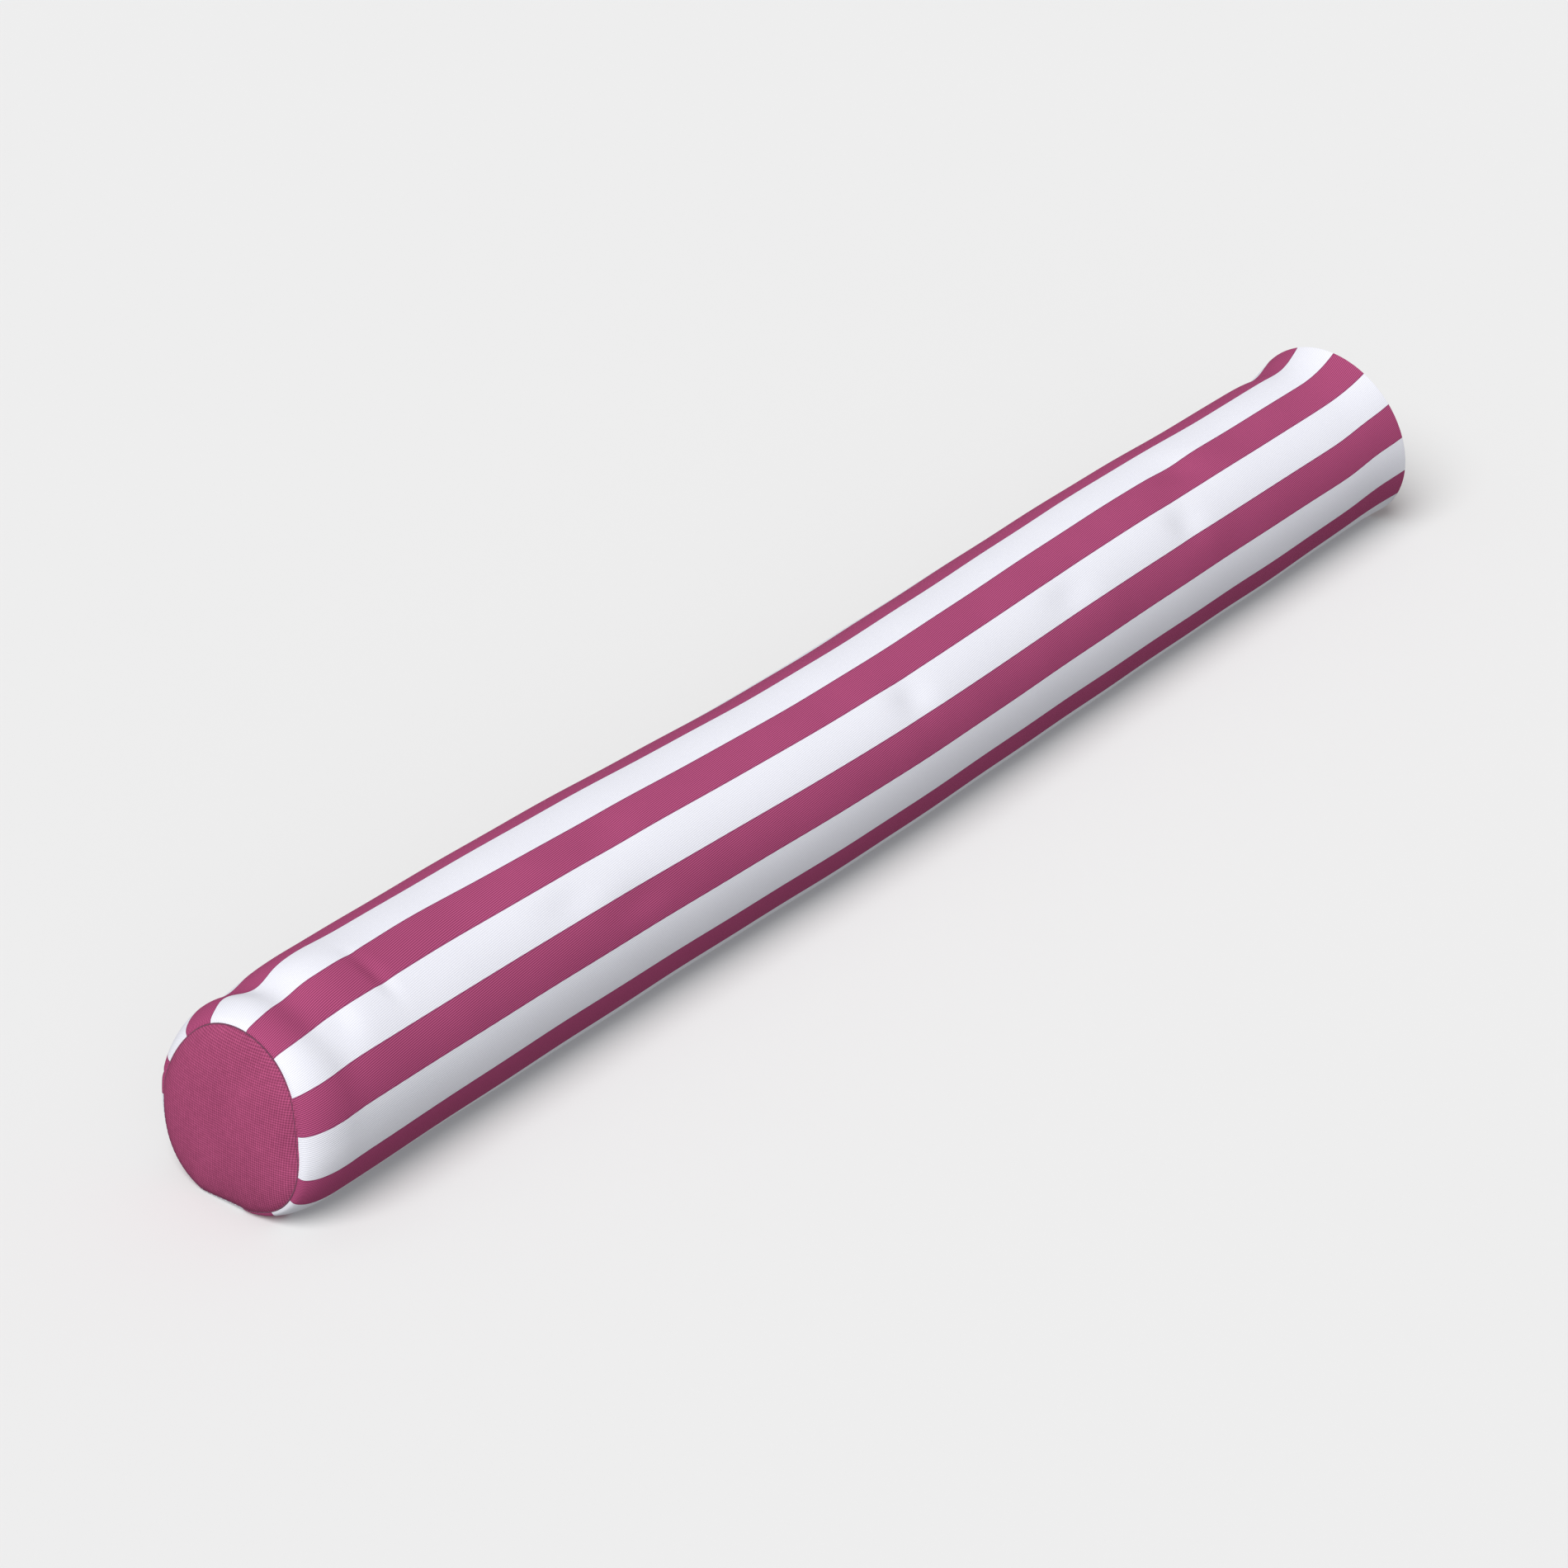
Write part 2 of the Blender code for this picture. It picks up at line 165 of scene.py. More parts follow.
# Weaves
RIB_PITCH = 0.0010
RIB_SLANT = 0.12
RIB_SHIFT = 0.00035
CROSS_PITCH = 0.0008
BASKET_PITCH = 0.0012
CALICO_PITCH = 0.0009
TAPE_PITCH = 0.0008
TWINE_PITCH = 0.0005
FOAM_PORES = 900.0        # per metre
LINE_FULL = 0.0003        # the darker line along each edge of a magenta stripe
LINE_END = 0.0008

# Camera
TARGET = Vector((-0.06978, -0.00865, AXIS_HEIGHT))
AZIMUTH = math.radians(-50.754)
ELEVATION = math.radians(30.680)
DISTANCE = 2.16515
LENS = 96.33
SENSOR = 36.0
CLIP_END = 20.0

# Floor and light: strength, and the way to each lamp
FLOOR_SIZE = 12.0
FLOOR_DROP = 0.0004
KEY = (3.06, (-0.57, -0.13, 0.81))
FILL = (0.42, (-0.62, -0.74, 0.28))
SUN_SPREAD = math.radians(45)
SURROUND = 0.35

# How the filling lies: x, angle, half length, half width in degrees, height
SOFT_SPOTS = (
    (-0.425, 62, 0.012, 27, -0.0042),    # neck behind the left collar, at the back
    (-0.429, 106, 0.014, 27, -0.0032),   # and at the front
    (-0.414, 121, 0.008, 12, -0.0013),
    (-0.394, 80, 0.020, 37, 0.0020),     # puff behind the neck
    (-0.405, 45, 0.035, 30, -0.0016),
    (-0.379, 108, 0.0045, 16, -0.0016),  # crease at the end of the puff
    (-0.425, 140, 0.012, 22, -0.0012),
    (-0.228, 152, 0.018, 9, -0.0014),
    (-0.264, 132, 0.016, 10, -0.0014),
    (-0.220, 108, 0.020, 10, -0.0014),
    (-0.003, 131, 0.012, 12, -0.0024),
    (0.140, 132, 0.017, 11, -0.0020),
    (0.252, 134, 0.013, 13, -0.0024),
    (0.280, 102, 0.016, 11, -0.0022),
    (0.340, 50, 0.070, 25, -0.0009),
    (0.434, 52, 0.016, 22, -0.0026),     # dip before the right rim flares
)
BOW_MIDDLE = -0.028
BOW_LENGTH = 0.1735
BOW_FORWARD = -0.0074
BOW_DOWN = -0.0003
BOW_ANGLE = 16            # from here round to BOW_ANGLE_END the skin bends, and not at the zip
BOW_ANGLE_FADE = 36
BOW_ANGLE_END = 235
BOW_ANGLE_END_FADE = 100

# Slow changes of girth
SLACK = 0.0013            # the whole skin is a little inside the plain section
WAIST = 0.0018            # and a little more so where the roller bends
BACK_ANGLE = 48
BACK_FULLNESS = 0.0029
FOOT_ANGLE = 225
FOOT_FULLNESS = 0.0041
LEFT_FOOT_FULLNESS = 0.0022
LEFT_FOOT_REACH = 0.35
RIGHT_FOOT_LOSS = 0.4
RIGHT_FOOT_START = 0.30
RIGHT_FOOT_FADE = 0.12
FULLNESS_WIDTH = 40
CORNER_ANGLE = 236        # where the roller rests, away from its left end
CORNER_WIDTH = 26
CORNER_FULLNESS = 0.0030
CORNER_START = 0.06
CORNER_FADE = 0.18
SLOW_RIPPLE = 0.0004
QUICK_RIPPLE = 0.0002

# The left rim is drawn in: at its sides, top and foot, then changes by angle, half width and amount
LEFT_REACH = 0.024
LEFT_SIDES = 0.0090
LEFT_TOP = 0.0042
LEFT_FOOT = 0.0045
LEFT_CHANGES = ((165, 35, 0.0030), (35, 30, 0.0025), (308, 32, -0.0060), (278, 22, -0.0018))

# The right rim stands out: all round, then changes by angle, half width and amount
RIGHT_REACH = 0.040
RIGHT_PLAIN = -0.0005
RIGHT_CHANGES = ((82, 58, 0.0062), (205, 35, 0.0028))

# How far the rims lean, per metre above the axis
LEAN_REACH = 0.09
LEFT_LEAN = 0.170
RIGHT_LEAN = -0.038
COLLAR_REACH = 0.05
COLLAR_LEAN = -0.10

# How far the cloth is turned round, in degrees, at each rim: reach, angle, half width, turn
PULL_REACH = 0.040
LEFT_PULL = -1.5
LEFT_PULLS = ((0.040, 192, 38, 6.0), (0.040, 268, 42, -11.0))
RIGHT_PULL = -2.3
RIGHT_PULLS = ((0.060, 155, 40, -2.2), (0.150, 214, 28, -6.0))

# The same between them: x, half length, angle, half width, turn
TURNS = (
    (-0.440, 0.014, 64, 20, -8.0),
    (-0.425, 0.016, 96, 22, -3.5),
    (-0.340, 0.045, 94, 22, -3.0),
    (-0.300, 0.090, 200, 25, -1.5),
    (0.050, 0.320, 145, 40, 1.0),
    (0.280, 0.100, 110, 50, 0.7),
    (0.360, 0.090, 65, 22, 2.5),
    (0.430, 0.022, 170, 42, -2.2),
)

# The stripe that turns under is squeezed, less at the left end
UNDER_TURN = -7.0
LEFT_UNDER_TURN = -3.0
LEFT_UNDER_REACH = 0.18
UNDER_ANGLE = 190
UNDER_ANGLE_FADE = 28
UNDER_ANGLE_END = 260
UNDER_ANGLE_END_FADE = 60


# ---------------------------------------------------------------- shape of the filled cover

def clamp(value, low=0.0, high=1.0):
    return min(high, max(low, value))


def smooth(value):
    """0 to 1, easing in and out."""
    value = clamp(value)
    return value * value * (3 - 2 * value)


def bell(value, width):
    return math.exp(-(value / width) ** 2)


def degrees_between(angle, other):
    return (angle - other + 180) % 360 - 180


def settled(x, radius, angle):
    """A point of the plain round roller after it settles on the floor."""
    share = min(1.0, radius / RADIUS)
    y = (radius + SPREAD * share) * math.cos(angle)
    z = AXIS_HEIGHT + (radius - SPREAD * share) * math.sin(angle)
    return Vector((x, y, max(z, RADIUS - radius)))


def bells(degrees, table):
    """The sum of bells round the section, each given by its angle, half width and amount."""
    return sum(amount * bell(degrees_between(degrees, angle), width) for angle, width, amount in table)


def zip_hold(x, degrees):
    """1 where the zip keeps the cloth flat and straight, 0 away from it."""
    beside = 1 - smooth((abs(degrees_between(degrees, ZIP_ANGLE)) - HOLD_ANGLE) / HOLD_ANGLE_FADE)
    along = 1 - smooth((abs(x) - HOLD_END) / HOLD_END_FADE)
    return beside * along


def left_draw_in(angle):
    """How far the left rim is drawn in, more at the sides than on top."""
    side = math.cos(angle) ** 2
    upright = LEFT_TOP if math.sin(angle) > 0 else LEFT_FOOT
    return LEFT_SIDES * side + upright * (1 - side) + bells(math.degrees(angle), LEFT_CHANGES)


def fullness(x, degrees):
    """Height of the skin over the plain section from the slow changes of girth."""
    height = -SLACK - WAIST * bell(x - BOW_MIDDLE, BOW_LENGTH)
    height += BACK_FULLNESS * bell(degrees_between(degrees, BACK_ANGLE), FULLNESS_WIDTH)
    foot = FOOT_FULLNESS + LEFT_FOOT_FULLNESS * (1 - smooth((x + SEAM) / LEFT_FOOT_REACH))
    foot *= 1 - RIGHT_FOOT_LOSS * smooth((x - RIGHT_FOOT_START) / RIGHT_FOOT_FADE)
    height += foot * bell(degrees_between(degrees, FOOT_ANGLE), FULLNESS_WIDTH)
    corner = CORNER_FULLNESS * smooth((x + SEAM - CORNER_START) / CORNER_FADE)
    return height + corner * bell(degrees_between(degrees, CORNER_ANGLE), CORNER_WIDTH)


def relief(x, angle):
    """Height of the skin over the plain section: fullness, rims, dents, puffs and ripples."""
    degrees = math.degrees(angle) % 360
    height = fullness(x, degrees)
    left = clamp((x + SEAM) / LEFT_REACH)
    height -= left_draw_in(angle) * (1 - math.sqrt(1 - (1 - left) ** 2))
    right = clamp((SEAM - x) / RIGHT_REACH)
    height += (RIGHT_PLAIN + bells(degrees, RIGHT_CHANGES)) * (1 - right) ** 2
    for place, turn, length, width, rise in SOFT_SPOTS:
        along = (x - place) / length
        if abs(along) < 3:
            round_it = degrees_between(degrees, turn) / width
            height += rise * math.exp(-along * along - round_it * round_it)
    slow = math.sin(17 * x + 2 * angle) * math.sin(9 * x - angle + 1.3)
    quick = math.sin(46 * x - 3 * angle + 0.7) * math.sin(31 * x + 2 * angle)
    height += SLOW_RIPPLE * slow + QUICK_RIPPLE * quick
    return height * (1 - zip_hold(x, degrees))


def bow(x, angle):
    """The roller bends towards the viewer near its middle, except at its zip."""
    degrees = math.degrees(angle) % 360
    share = smooth((degrees - BOW_ANGLE) / BOW_ANGLE_FADE)
    share *= 1 - smooth((degrees - BOW_ANGLE_END) / BOW_ANGLE_END_FADE)
    amount = bell(x - BOW_MIDDLE, BOW_LENGTH) * share
    return Vector((0.0, BOW_FORWARD * amount, BOW_DOWN * amount))


def lean(x, z):
    """The left rim leans inwards and forwards at its top, and the right one outwards at its foot."""
    left = smooth((-x - (SEAM - LEAN_REACH)) / LEAN_REACH)
    right = smooth((x - (SEAM - LEAN_REACH)) / LEAN_REACH)
    collar = smooth((-x - (SEAM - COLLAR_REACH)) / COLLAR_REACH)
    height = z - AXIS_HEIGHT
    along = (LEFT_LEAN * left + RIGHT_LEAN * right) * height
    return Vector((along, COLLAR_LEAN * collar * max(0.0, height), 0.0))


def laid(x, depth, angle, share=1.0):
    """Where a point lies, at a depth under the skin, or at a share of that radius."""
    point = settled(x, (RADIUS - depth) * share, angle)
    hold = ((RADIUS - depth) / RADIUS * share) ** 2
    rise = relief(x, angle) * hold
    point.y += rise * math.cos(angle)
    point.z += rise * math.sin(angle)
    point += bow(x, angle) * hold
    point.z = max(point.z, depth)
    return point + lean(x, point.z)


def section_arcs():
    """Angles round the plain section and the length of cloth up to each."""
    angles = [2 * math.pi * i / SECTION_STEPS for i in range(SECTION_STEPS + 1)]
    arcs = [0.0]
    last = settled(0.0, RADIUS, 0.0)
    for angle in angles[1:]:
        point = settled(0.0, RADIUS, angle)
        arcs.append(arcs[-1] + (point - last).length)
        last = point
    return angles, arcs


ANGLES, ARCS = section_arcs()
GIRTH = ARCS[-1]


def angle_at(arc):
    """Angle round the section of a length of cloth measured from the back, over the top."""
    turns = math.floor(arc / GIRTH)
    arc -= turns * GIRTH
    low, high = 0, len(ARCS) - 1
    while high - low > 1:
        middle = (low + high) // 2
        if ARCS[middle] <= arc:
            low = middle
        else:
            high = middle
    part = (arc - ARCS[low]) / (ARCS[high] - ARCS[low])
    return 2 * math.pi * turns + ANGLES[low] + part * (ANGLES[high] - ANGLES[low])


def arc_at(angle):
    return ARCS[round(angle / (2 * math.pi) * (len(ARCS) - 1))]


ZIP_ARC = arc_at(math.radians(ZIP_ANGLE))
ZIP_MIDDLE = settled(0.0, RADIUS, math.radians(ZIP_ANGLE))
ZIP_OUT = Vector((
    0.0,
    math.cos(math.radians(ZIP_ANGLE)) / HALF_WIDTH,
    math.sin(math.radians(ZIP_ANGLE)) / (RADIUS - SPREAD),
)).normalized()
ZIP_UP = Vector((0.0, -ZIP_OUT.z, ZIP_OUT.y))
PAIR = GIRTH / PAIRS
MAGENTA_WIDTH = PAIR * MAGENTA_SHARE
FIRST_EDGE = ZIP_ARC - MAGENTA_WIDTH / 2


# ---------------------------------------------------------------- meshes

def new_piece(name, vertices, faces, material):
    mesh = bpy.data.meshes.new(name)
    mesh.from_pydata(vertices, [], faces)
    mesh.shade_smooth()
    mesh.materials.append(material)
    piece = bpy.data.objects.new(name, mesh)
    bpy.context.scene.collection.objects.link(piece)
    return piece


def face_outwards(piece):
    work = bmesh.new()
    work.from_mesh(piece.data)
    bmesh.ops.recalc_face_normals(work, faces=work.faces)
    work.to_mesh(piece.data)
    work.free()


def subdivide(piece):
    finer = piece.modifiers.new("finer", "SUBSURF")
    finer.levels = 1
    finer.render_levels = 1


def steps(start, length, count):
    """Evenly spaced places from a start, without the one at the end of the length."""
    return [start + length * i / count for i in range(count)]


def stations():
    """Places along the cover, close together at its ends, with one at each end of the zip's slot."""
    half = steps(0.0, SLOT_END, SLOT_STEPS)
    half += steps(SLOT_END, FREE_START - SLOT_END, HOLD_STEPS)
    half += steps(FREE_START, SEAM - FREE_START, FREE_STEPS)
    half += [SEAM - inwards for inwards in RIM_STATIONS]
    return [-x for x in half[:0:-1]] + half


def columns():
    """Lengths of cloth round the cover at which its faces start, from one edge of the zip's stripe."""
    zip_places = [-MAGENTA_WIDTH / 2] + [-place for place in ZIP_COLUMNS] + [0.0]
    zip_places += list(reversed(ZIP_COLUMNS))
    arcs = [ZIP_ARC + place for place in zip_places]
    start = FIRST_EDGE + MAGENTA_WIDTH
    white_width = PAIR - MAGENTA_WIDTH
    for pair in range(PAIRS):
        arcs += steps(start, white_width, WHITE_CELLS)
        start += white_width
        if pair < PAIRS - 1:
            arcs += steps(start, MAGENTA_WIDTH, MAGENTA_CELLS)
            start += MAGENTA_WIDTH
    return arcs


def rows():
    """(x, depth) of each ring of the cover, with the seam allowance turned in at both ends."""
    fold = [(SEAM + past, depth) for past, depth in SEAM_FOLD]
    left = [(-x, depth) for x, depth in fold]
    return left + [(x, 0.0) for x in stations()] + fold[::-1]


def rim_turn(inwards, plain, pulls, degrees):
    """How far a seam turns the cloth round, in degrees, at a distance inwards from its rim."""
    turn = plain * (1 - clamp(inwards / PULL_REACH)) ** 2
    for reach, angle, width, amount in pulls:
        turn += amount * (1 - clamp(inwards / reach)) ** 2 * bell(degrees_between(degrees, angle), width)
    return turn


def twist(x, angle):
    """How far the cloth is turned round, in radians: both seams and the filling pull it askew."""
    degrees = math.degrees(angle) % 360
    turn = rim_turn(x + SEAM, LEFT_PULL, LEFT_PULLS, degrees)
    turn += rim_turn(SEAM - x, RIGHT_PULL, RIGHT_PULLS, degrees)
    for place, length, middle, width, amount in TURNS:
        turn += amount * bell(x - place, length) * bell(degrees_between(degrees, middle), width)
    under = smooth((degrees - UNDER_ANGLE) / UNDER_ANGLE_FADE)
    under *= 1 - smooth((degrees - UNDER_ANGLE_END) / UNDER_ANGLE_END_FADE)
    away_from_left = smooth((x + SEAM) / LEFT_UNDER_REACH)
    turn += (LEFT_UNDER_TURN + (UNDER_TURN - LEFT_UNDER_TURN) * away_from_left) * under
    return math.radians(turn) * (1 - zip_hold(x, degrees))


def cover_mesh(material):
    """The striped tube, with a slot at its back for the zip and cloth coordinates in metres."""
    arcs = columns()
    angles = [angle_at(arc) for arc in arcs]
    rings = rows()
    count = len(arcs)
    vertices = []
    for x, depth in rings:
        for arc, angle in zip(arcs, angles):
            point = laid(x, depth, angle + twist(x, angle))
            pinch = bell(arc - ZIP_ARC, PINCH_WIDTH) * smooth((abs(x) - SLOT_END) / PINCH_START)
            vertices.append(point - Vector((0.0, PINCH_DEPTH * pinch, 0.0)))
    faces = []
    cloth = []
    for row in range(len(rings) - 1):
        low_x, high_x = rings[row][0], rings[row + 1][0]
        middle_x = (low_x + high_x) / 2
        for column in range(count):
            after = (column + 1) % count
            high_arc = arcs[after] if after else arcs[0] + GIRTH
            middle = (arcs[column] + high_arc) / 2
            if abs(middle_x) < SLOT_END and abs(middle - ZIP_ARC) < SLOT_HALF_WIDTH:
                continue
            start, end = row * count, (row + 1) * count
            faces.append((start + column, end + column, end + after, start + after))
            cloth.append((low_x, high_x, arcs[column], high_arc))
    piece = new_piece("striped_cover", vertices, faces, material)
    layer = piece.data.uv_layers.new(name="cloth")
    for face, (low_x, high_x, low_arc, high_arc) in zip(piece.data.polygons, cloth):
        corners = ((low_x, low_arc), (high_x, low_arc), (high_x, high_arc), (low_x, high_arc))
        for loop, corner in zip(face.loop_indices, corners):
            layer.data[loop].uv = corner
    return piece


def fold_slot(piece):
    """Turn the cloth under along the zip's slot, so that its edge shows a rounded fold."""
    work = bmesh.new()
    work.from_mesh(piece.data)
    edge = [e for e in work.edges if e.is_boundary and abs(e.verts[0].co.x) < SLOT_END + SLOT_MARGIN]
    for sideways, inwards in SLOT_FOLD:
        made = bmesh.ops.extrude_edge_only(work, edges=edge)["geom"]
        fresh = [item for item in made if isinstance(item, bmesh.types.BMVert)]
        for vertex in fresh:
            across = (vertex.co - ZIP_MIDDLE).dot(ZIP_UP)
            away = clamp(across / SLOT_HALF_WIDTH, -1.0, 1.0)
            vertex.co += ZIP_UP * sideways * away - ZIP_OUT * inwards
            if abs(vertex.co.x) > SLOT_END - SLOT_MARGIN:
                vertex.co.x += math.copysign(max(0.0, sideways), vertex.co.x)
        edge = [e for e in work.edges if e.is_boundary and e.verts[0] in fresh and e.verts[1] in fresh]
    work.to_mesh(piece.data)
    work.free()


def bulge(share):
    """How far the end panel stands out, at a share of its radius."""
    return BULGE * (1 - share ** BULGE_SQUARENESS) ** BULGE_STEEPNESS


def end_panel(name, side, material):
    """A round panel that crowns a little, with its edge turned in at the seam."""
    around = PANEL_SIDES
    shares = [PANEL_FACE * i / PANEL_RINGS for i in range(1, PANEL_RINGS + 1)] + [PANEL_LIP]
    rings = [(SEAM + bulge(share), share) for share in shares]
    rings += [(SEAM + past, share) for past, share in PANEL_EDGE]
    vertices = [laid_end(side, SEAM + BULGE, 0.0, 0.0)]
    for x, share in rings:
        vertices += [laid_end(side, x, 2 * math.pi * i / around, share) for i in range(around)]
    faces = [(0, 1 + i, 1 + (i + 1) % around) for i in range(around)]
    for ring in range(len(rings) - 1):
        inner = 1 + ring * around
        outer = inner + around
        for i in range(around):
            after = (i + 1) % around
            faces.append((inner + i, outer + i, outer + after, inner + after))
    piece = new_piece(name, vertices, faces, material)
    if side > 0:
        piece.data.flip_normals()
    face_outwards(piece)
    return piece


def laid_end(side, x, angle, share):
    """A point of an end piece, x from the middle of the roller, at a share of the panel's radius."""
    inside = side * min(x, SEAM)
    rim = laid(inside, PANEL_INSET, angle)
    middle = (laid(inside, PANEL_INSET, math.pi / 2) + laid(inside, PANEL_INSET, -math.pi / 2)) / 2
    point = middle + (rim - middle) * share
    point.x += side * max(0.0, x - SEAM)
    if side < 0:
        crease = bell(point.y + CREASE_SLOPE * (point.z - AXIS_HEIGHT) - CREASE_PLACE, CREASE_WIDTH)
        point.x += CREASE_HEIGHT * crease * (1 - share ** 2)
    return point


def rings_piece(name, rings, material, capped):
    """A piece made of rings of points, joined end to end, or closed by a cap at each end."""
    around = len(rings[0])
    vertices = [point for ring in rings for point in ring]
    faces = []
    joins = len(rings) - 1 if capped else len(rings)
    for i in range(joins):
        start = i * around
        end = (i + 1) % len(rings) * around
        for j in range(around):
            after = (j + 1) % around
            faces.append((start + j, start + after, end + after, end + j))
    if capped:
        faces.append(tuple(range(around)))
        faces.append(tuple(range(len(vertices) - 1, len(vertices) - around - 1, -1)))
    piece = new_piece(name, vertices, faces, material)
    face_outwards(piece)
    piece.data.set_sharp_from_angle(angle=INNER_CORNER)
    return piece


def ring_at(x, depth, share=1.0):
    return [laid(x, depth, 2 * math.pi * i / INNER_SIDES, share) for i in range(INNER_SIDES)]


def inner_stations(half):
    return [-half + 2 * half * i / INNER_STEPS for i in range(INNER_STEPS + 1)]


def inner_layer(name, half, depth, thickness, material):
    """A tube under the skin that lies as the skin does."""
    outside = [ring_at(x, depth) for x in inner_stations(half)]
    inside = [ring_at(x, depth + thickness) for x in reversed(inner_stations(half))]
    return rings_piece(name, outside + inside, material, False)


def inner_bar(name, half, depth, material):
    """A solid bar under the skin, with its end edges eased."""
    edge = [(half - inwards, share) for inwards, share in BAR_EDGE]
    rings = [ring_at(-x, depth, share) for x, share in edge]
    rings += [ring_at(x, depth) for x in inner_stations(half - BAR_EDGE_LENGTH)]
    rings += [ring_at(x, depth, share) for x, share in reversed(edge)]
    return rings_piece(name, rings, material, True)


def case_end(name, side, material):
    """The flat end disc of the inner case."""
    front = CAD_BOX[1].x - END_DEPTH
    back = front - CASE_CLOTH
    rings = []
    for x, depth in ((front, CASE_EDGE), (front, 0.0), (back, 0.0), (back, CASE_EDGE)):
        rings.append(ring_at(side * x, CASE_DEPTH + depth))
    return rings_piece(name, rings, material, True)


def end_pad(name, side, material):
    """The wadding disc that crowns the end panel."""
    rings = []
    for i in range(1, PAD_RINGS + 1):
        share = PAD_REACH * i / PAD_RINGS
        x = SEAM + bulge(share) - CLOTH - 2 * GAP
        turns = [2 * math.pi * j / INNER_SIDES for j in range(INNER_SIDES)]
        rings.append([laid_end(side, x, turn, share) for turn in turns])
    back = CAD_BOX[1].x - END_DEPTH + 2 * GAP
    rings.append(ring_at(side * back, PANEL_INSET, PAD_REACH))
    return rings_piece(name, rings, material, True)


# ---------------------------------------------------------------- zip and stitches

def zip_point(x, up, out):
    return Vector((x, 0.0, 0.0)) + ZIP_MIDDLE + ZIP_UP * up + ZIP_OUT * out


class Bars:
    """A mesh of many small bars with round ends."""

    # Share of the length, share of the thickness there
    PROFILE = ((0.0, 0.45), (0.06, 0.8), (0.2, 1.0), (0.8, 1.0), (0.94, 0.8), (1.0, 0.45))

    def __init__(self, sides=6):
        self.sides = sides
        self.vertices = []
        self.faces = []

    def add(self, start, end, out, width, height):
        """A bar between two points, its middle line on them, height measured along out."""
        along = end - start
        across = along.cross(out).normalized() * width / 2
        rise = out * height / 2
        first = len(self.vertices)
        for share, size in self.PROFILE:
            for i in range(self.sides):
                turn = 2 * math.pi * (i + 0.5) / self.sides
                corner = across * math.cos(turn) + rise * math.sin(turn)
                self.vertices.append(start + along * share + corner * size)
        rings = len(self.PROFILE)
        for ring in range(rings - 1):
            low = first + ring * self.sides
            for i in range(self.sides):
                after = (i + 1) % self.sides
                self.faces.append((low + i, low + after, low + self.sides + after, low + self.sides + i))
        last = first + (rings - 1) * self.sides
        self.faces.append(tuple(range(first + self.sides - 1, first - 1, -1)))
        self.faces.append(tuple(range(last, last + self.sides)))

    def piece(self, name, material):
        made = new_piece(name, self.vertices, self.faces, material)
        face_outwards(made)
        return made


def zip_coil(name, side, material):
    """One row of teeth: a nylon coil whose turns lock between those of the other row."""
    bars = Bars()
    count = int(2 * TEETH_END / TOOTH_PITCH)
    shift = 0.25 if side > 0 else 0.75
    for i in range(count):
        x = -TEETH_END + (i + shift) * TOOTH_PITCH
        start = zip_point(x, side * TOOTH_INNER, TOOTH_RISE)
        end = zip_point(x, side * TOOTH_OUTER, TOOTH_RISE)
        bars.add(start, end, ZIP_OUT, TOOTH_WIDTH, TOOTH_HEIGHT)
    return bars.piece(name, material)


def zip_stitches(name, side, material):
    """A row of stitches that holds a tape to the cover."""
    bars = Bars()
    count = int(2 * STITCH_END / STITCH_PITCH)
    angle = angle_at(ZIP_ARC + side * STITCH_OFFSET)
    out = Vector((0.0, math.cos(angle), math.sin(angle)))
    for i in range(count):
        x = -STITCH_END + (i + STITCH_START) * STITCH_PITCH
        start = settled(x, RADIUS + STITCH_RISE, angle)
        end = settled(x + STITCH_SHARE * STITCH_PITCH, RADIUS + STITCH_RISE, angle)
        bars.add(start, end, out, STITCH_SIZE, STITCH_SIZE)
    return bars.piece(name, material)


def end_stitches(name, side, material):
    """The stitches that show a little in the groove of an end seam."""
    bars = Bars()
    x = side * (SEAM + END_STITCH_PAST)
    for i in range(END_STITCHES):
        first = laid(x, END_STITCH_DEPTH, 2 * math.pi * (i + END_STITCH_GAP) / END_STITCHES)
        second = laid(x, END_STITCH_DEPTH, 2 * math.pi * (i + 1 - END_STITCH_GAP) / END_STITCHES)
        bars.add(first, second, Vector((side, 0.0, 0.0)), END_STITCH_WIDTH, END_STITCH_HEIGHT)
    return bars.piece(name, material)


def metal_piece(name, node, material):
    """The CAD piece with its edges rounded off."""
    source = bpy.data.objects[node]
    mesh = source.data.copy()
    mesh.materials.clear()
    mesh.materials.append(material)
    piece = bpy.data.objects.new(name, mesh)
    bpy.context.scene.collection.objects.link(piece)
    rounding = piece.modifiers.new("rounding", "BEVEL")
    rounding.width = ROUNDING
    rounding.segments = 2
    rounding.limit_method = "ANGLE"
    rounding.angle_limit = METAL_CORNER
    mesh.shade_smooth()
    mesh.set_sharp_from_angle(angle=METAL_CORNER)
    return piece


# ---------------------------------------------------------------- materials

